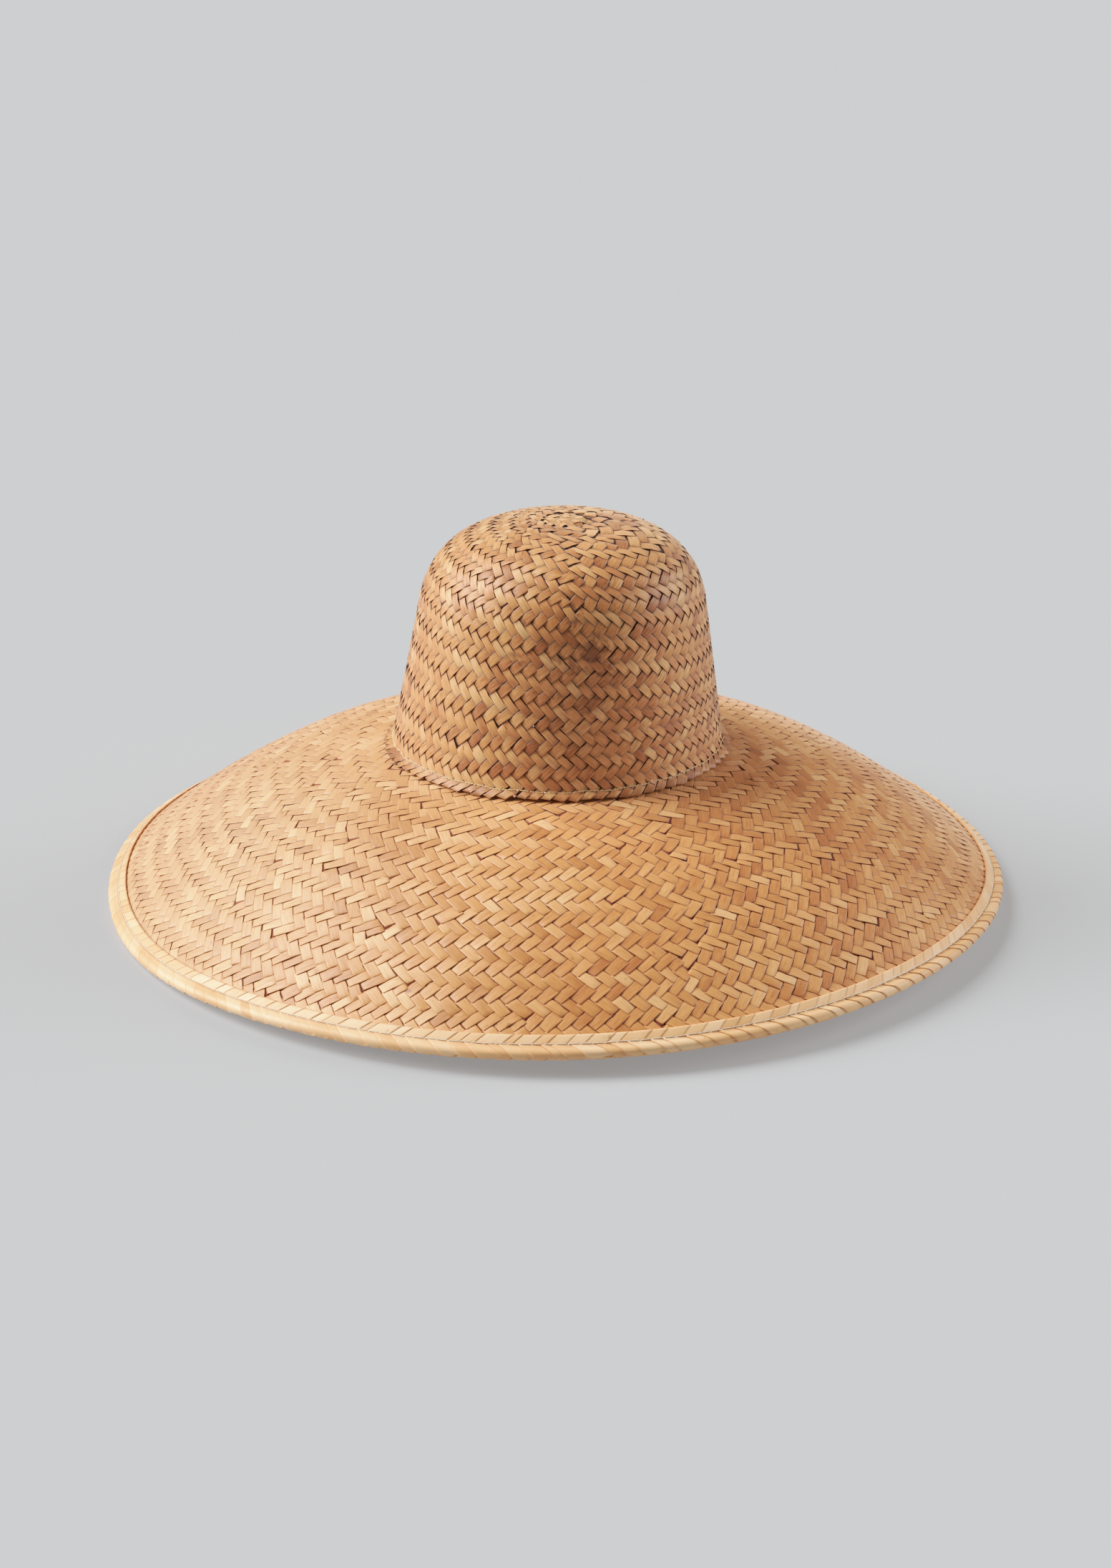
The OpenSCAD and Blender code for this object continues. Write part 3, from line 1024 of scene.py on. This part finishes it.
def thread_material(name, color, other, roughness=0.75, twists_per_metre=900.0):
    g = Graph(name)
    _, run, side = g.attribute("strip")
    turn = g.math("ADD", g.math("MULTIPLY", run, TAU * twists_per_metre), g.math("MULTIPLY", side, 2.2))
    ply = g.remap(g.math("SINE", turn), -1, 1, 0, 1)
    fac = g.blend(ply, g.noise(g.here(), 900.0, 3.0), 0.5)
    # painted shade: the thread is darker, towards other, where it lies low between its plies; the noise part
    # is its own uneven tone
    g.feed(g.bsdf.inputs["Base Color"], g.mix(fac, other, color))
    g.constants({"Roughness": roughness})
    g.bump(fac, 0.6, 0.00015)
    return g.mat


white_thread = thread_material("thread_white", srgb(244, 236, 222), srgb(206, 188, 160))
cord_leaf = thread_material("cord_straw", srgb(250, 220, 176), srgb(206, 160, 112), 0.6, 420.0)


def ribbon_material():
    """Ribbed ribbon: one rib across it for each millimetre, a paler hem along both sides, and painted shade
    in the low parts of the ribs.
    """
    g = Graph("ribbon_ribbed")
    _, run, side = g.attribute("strip")
    rib = g.remap(g.math("SINE", g.math("MULTIPLY", run, TAU * 1000)), -1, 1, 0, 1)
    cross = g.remap(g.math("SINE", g.math("MULTIPLY", side, 70.0)), -1, 1, 0, 1)
    weave = g.blend(rib, cross, 0.2)
    wear = g.noise(g.here(), 38.0, 4.0, 0.6)
    base = g.mix(g.remap(wear, 0.35, 0.7, 0.0, 1.0), srgb(196, 164, 122), srgb(168, 134, 94))
    hem = g.remap(g.math("ABSOLUTE", side), 0.9, 0.96, 0.0, 0.35)
    base = g.mix(hem, base, srgb(214, 188, 150))
    # painted shade: the ribbon is darker where its ribs are low
    low = g.math("MULTIPLY", g.math("SUBTRACT", 1.0, weave), 0.45)
    g.feed(g.bsdf.inputs["Base Color"], g.mix(low, base, srgb(110, 80, 52), "MULTIPLY"))
    g.constants({"Roughness": 0.85, "Sheen Weight": 0.2})
    g.bump(weave, 0.7, 0.0003)
    return g.mat


ribbon = ribbon_material()


def wire_material():
    g = Graph("wire_drawn")
    lines = g.noise(g.here(), 300.0, 2.0)
    g.feed(g.bsdf.inputs["Base Color"], g.mix(lines, srgb(120, 120, 122), srgb(160, 160, 160)))
    g.constants({"Metallic": 1.0})
    g.feed(g.bsdf.inputs["Roughness"], g.remap(lines, 0.0, 1.0, 0.3, 0.5))
    return g.mat


wire = wire_material()

LOOKS = {
    "crown_strips_down_right": (crown_a, "crown_leaf", ["crown_weave"]),
    "crown_strips_down_left": (crown_b, "crown_leaf", ["crown_weave"]),
    "crown_start_square": (crown_a, "crown_leaf", ["crown_weave"]),
    "crown_seam_cord_twisted": (cord_leaf, "cord_straw", ["crown_seam_cord"]),
    "edge_plait_outer": (plait_leaf, "plait_leaf", ["edge_binding"]),
    "edge_plait_under": (plait_leaf, "plait_leaf", ["edge_binding"]),
    "edge_plait_lining": (plait_leaf, "plait_leaf", ["edge_binding"]),
    "edge_thread_top": (white_thread, "thread", ["edge_stitch_top"]),
    "edge_thread_under": (white_thread, "thread", ["edge_stitch_under"]),
    "edge_wire_ring": (wire, "wire", ["edge_wire"]),
    "sweatband_ribbon": (ribbon, "ribbon", ["sweatband"]),
    "sweatband_thread": (white_thread, "thread", ["sweatband_stitch"]),
    "crown_seam_thread_inside": (white_thread, "thread", ["crown_seam_inner_thread"]),
}
for i in range(BRIM_GROUPS):
    LOOKS[f"brim_strips_down_right_{i + 1}"] = (brim_a, "brim_leaf", ["brim_weave"])
    LOOKS[f"brim_strips_down_left_{i + 1}"] = (brim_b, "brim_leaf", ["brim_weave"])
for name, ob in pieces.items():
    material, slot, nodes = LOOKS[name]
    ob.data.materials.append(material)
    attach(ob, "root")
    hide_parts(*nodes)

# ---------------------------------------------------------------- floor, light and camera
FLOOR_GAP = 0.0002
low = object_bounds()[0][2]
floor_z = min(0.0, low) - FLOOR_GAP
bpy.ops.mesh.primitive_plane_add(size=30, location=(0, 0, floor_z))
floor = bpy.context.object
floor.name = "floor"
pale_floor = Graph("floor_pale")
pale_floor.feed(
    pale_floor.bsdf.inputs["Base Color"],
    pale_floor.mix(pale_floor.noise(pale_floor.here(), 3.0), srgb(145, 148, 152), srgb(147, 150, 154)),
)
pale_floor.constants({
    "Emission Color": (1, 1, 1, 1),
    "Emission Strength": 0.26,
    "Roughness": 0.9,
    "Specular IOR Level": 0.1,
})
floor.data.materials.append(pale_floor.mat)

world = bpy.data.worlds.new("studio")
bpy.context.scene.world = world
world.use_nodes = True
sky = world.node_tree.nodes["Background"]
sky.inputs["Color"].default_value = (1.0, 0.93, 0.85, 1)
sky.inputs["Strength"].default_value = 0.07


def softbox(name, azimuth, elevation, strength, spread, color):
    """A soft light from far away. Azimuth 0 is in front of the hat, and 90 is towards +X."""
    data = bpy.data.lights.new(name, "SUN")
    data.energy = strength * math.pi
    data.angle = math.radians(spread)
    data.color = color
    ob = bpy.data.objects.new(name, data)
    ob.rotation_euler = (math.radians(90 - elevation), 0, math.radians(azimuth))
    bpy.context.scene.collection.objects.link(ob)


softbox("key_low", 265, 27, 1.2, 34, (1.0, 0.985, 0.96))
softbox("key_high", 251, 52, 0.95, 34, (1.0, 0.985, 0.96))
softbox("fill", 104, 24, 0.74, 40, (1.0, 0.97, 0.93))
softbox("front", 20, 14, 0.02, 50, (1.0, 0.95, 0.88))

CAMERA_AWAY = 1.9  # metres from the point of the axis that the camera looks at
CAMERA_ELEVATION = math.radians(21.19)
AIM_Z = 0.0589
cam_data = bpy.data.cameras.new("camera")
cam_data.sensor_fit = "VERTICAL"
cam_data.sensor_height = 36
cam_data.lens = 75.73
cam = bpy.data.objects.new("camera", cam_data)
cam_y, cam_rise = -CAMERA_AWAY * math.cos(CAMERA_ELEVATION), CAMERA_AWAY * math.sin(CAMERA_ELEVATION)
cam.location = (0, cam_y, AIM_Z + cam_rise)
cam.rotation_euler = (math.pi / 2 - CAMERA_ELEVATION, 0, 0)
bpy.context.scene.collection.objects.link(cam)
bpy.context.scene.camera = cam

# a camera's soft shoulder, so that bright leaf goes pale instead of orange
look = bpy.context.scene.view_settings
look.view_transform = "Standard"
look.use_curve_mapping = True
look.curve_mapping.clip_max_x = 3.0
shoulder = look.curve_mapping.curves[3].points
shoulder[1].location = (3.0, 1.0)
for x, y in ((0.16, 0.16), (0.33, 0.33), (0.65, 0.56), (1.2, 0.83), (2.0, 0.97)):
    shoulder.new(x, y)
look.curve_mapping.update()
